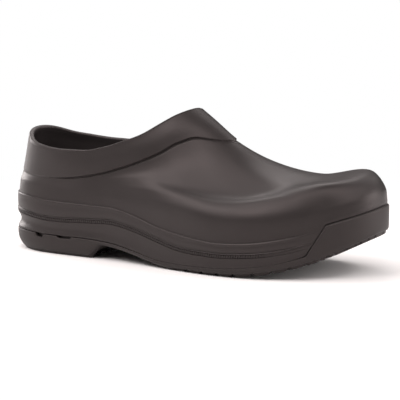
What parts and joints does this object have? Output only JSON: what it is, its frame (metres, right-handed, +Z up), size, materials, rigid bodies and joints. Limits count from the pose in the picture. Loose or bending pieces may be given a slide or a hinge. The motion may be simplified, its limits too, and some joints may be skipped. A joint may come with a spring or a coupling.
{
  "type": "chef clog",
  "caption": "Closed-toe slip-on work clog, moulded foam upper with a raised collar band, rubber outsole with a heel block and a toe bumper, loose footbed.",
  "frame": {"origin": "on the floor, under the middle of the shoe's bounding box", "axes": "+X to the toe along the shoe's length, +Y to the inner side of the right foot, +Z up from the floor"},
  "size_m": [0.302, 0.1125, 0.1114],
  "materials": {
    "upper": "satin moulded foam",
    "outsole": "matte",
    "insole": "matte"
  },
  "bodies": {
    "root": {"upper": "upper", "outsole": "outsole", "insole": "insole"}
  },
  "joints": []
}
